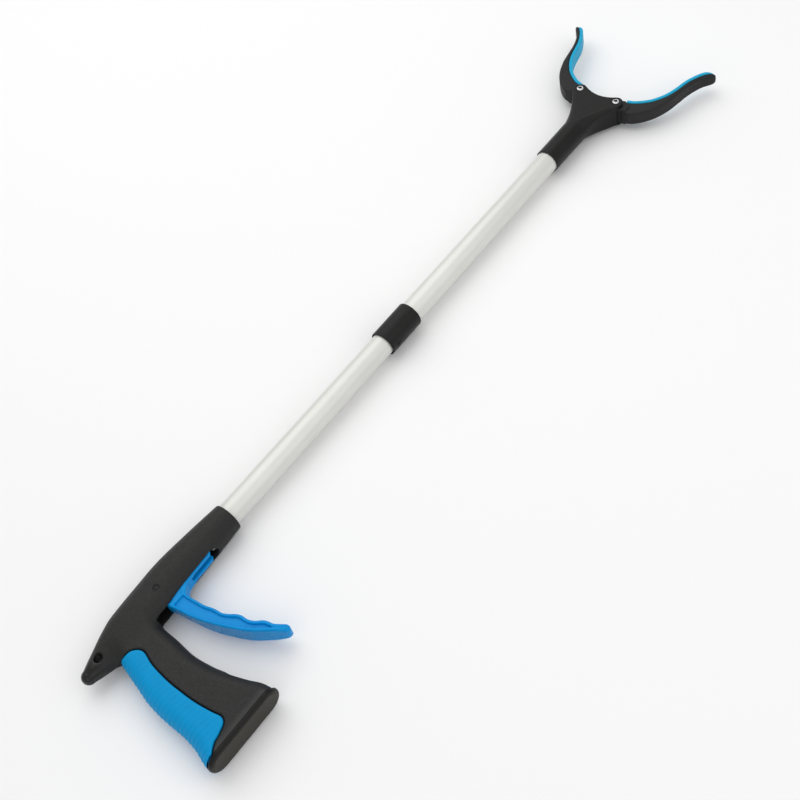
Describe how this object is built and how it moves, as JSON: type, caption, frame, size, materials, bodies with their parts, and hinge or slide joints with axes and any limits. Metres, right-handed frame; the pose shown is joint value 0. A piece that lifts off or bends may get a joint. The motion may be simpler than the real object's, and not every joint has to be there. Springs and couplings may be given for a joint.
{
  "type": "reacher grabber",
  "caption": "Folding reacher grabber with pistol grip, squeeze trigger, hinged shaft under a sliding sleeve, pull cable and padded curved jaws.",
  "frame": {"origin": "centre of the flat base of the grip", "axes": "the tool lies on its side: +X along the shaft towards the jaws, +Y towards the top of the handle (the grip hangs to -Y), +Z out of the right-hand side of the handle"},
  "size_m": [0.831, 0.224, 0.0312],
  "materials": {
    "black_plastic": "fine leather-grained moulding",
    "gloss_black": "smooth gloss",
    "blue_plastic": "smooth gloss moulding",
    "grip_rubber": "matte, finely ribbed",
    "pad_rubber": "matte",
    "tube": "satin anodised",
    "steel": "bright",
    "brass": "plain",
    "white_plastic": "plain moulding"
  },
  "bodies": {
    "handle": {"handle_shell_right": "black_plastic", "handle_shell_left": "black_plastic", "grip_insert": "grip_rubber", "grip_base_cap": "gloss_black", "nose_screw": "steel", "tail_screw": "steel", "palm_screw": "steel", "heel_screw": "steel", "trigger_pin": "steel", "rear_tube": "tube", "tube_end_bush": "white_plastic", "rear_hinge_plug": "black_plastic", "fold_pin": "steel"},
    "trigger": {"trigger": "blue_plastic"},
    "cable_rear": {"rear_cable": "steel", "cable_anchor": "brass"},
    "sleeve": {"lock_sleeve": "black_plastic", "sleeve_catch": "gloss_black"},
    "front_shaft": {"front_tube": "tube", "front_hinge_plug": "black_plastic", "spring_seat": "white_plastic", "head_fork": "black_plastic", "return_spring": "steel", "jaw_rivet_upper": "steel", "jaw_rivet_lower": "steel"},
    "yoke": {"yoke": "black_plastic", "front_cable": "steel", "head_cable_ferrule": "brass"},
    "upper_jaw": {"jaw_upper": "black_plastic", "jaw_pad_upper": "pad_rubber"},
    "lower_jaw": {"jaw_lower": "black_plastic", "jaw_pad_lower": "pad_rubber"}
  },
  "joints": [
    {"name": "trigger_squeeze", "type": "hinge", "parent": "handle", "child": "trigger", "pos_m": [0.089, 0.1525, 0], "axis": [0, 0, -1], "range_deg": [0, 20]},
    {"name": "cable_pull", "type": "slide", "parent": "handle", "child": "cable_rear", "axis": [-1, 0, 0], "range_m": [0, 0.0052]},
    {"name": "shaft_fold", "type": "hinge", "parent": "handle", "child": "front_shaft", "pos_m": [0.371, 0.1492, 0], "axis": [0, 0, 1], "range_deg": [0, 155]},
    {"name": "sleeve_slide", "type": "slide", "parent": "handle", "child": "sleeve", "axis": [-1, 0, 0], "range_m": [0, 0.205]},
    {"name": "yoke_pull", "type": "slide", "parent": "front_shaft", "child": "yoke", "axis": [-1, 0, 0], "range_m": [0, 0.0052], "deforming": ["return_spring"]},
    {"name": "upper_jaw_close", "type": "hinge", "parent": "front_shaft", "child": "upper_jaw", "pos_m": [0.6965, 0.162, 0], "axis": [0, 0, -1], "range_deg": [0, 43.6]},
    {"name": "lower_jaw_close", "type": "hinge", "parent": "front_shaft", "child": "lower_jaw", "pos_m": [0.6965, 0.12, 0], "axis": [0, 0, 1], "range_deg": [0, 43.6]}
  ],
  "couplings": [
    {"joint": "cable_pull", "follows": "trigger_squeeze", "m_per_rad": 0.014697},
    {"joint": "yoke_pull", "follows": "trigger_squeeze", "m_per_rad": 0.014697},
    {"joint": "upper_jaw_close", "follows": "trigger_squeeze", "ratio": 2.175},
    {"joint": "lower_jaw_close", "follows": "trigger_squeeze", "ratio": 2.175},
    {"joint": "sleeve_slide", "follows": "shaft_fold", "m_per_rad": 0.075}
  ]
}
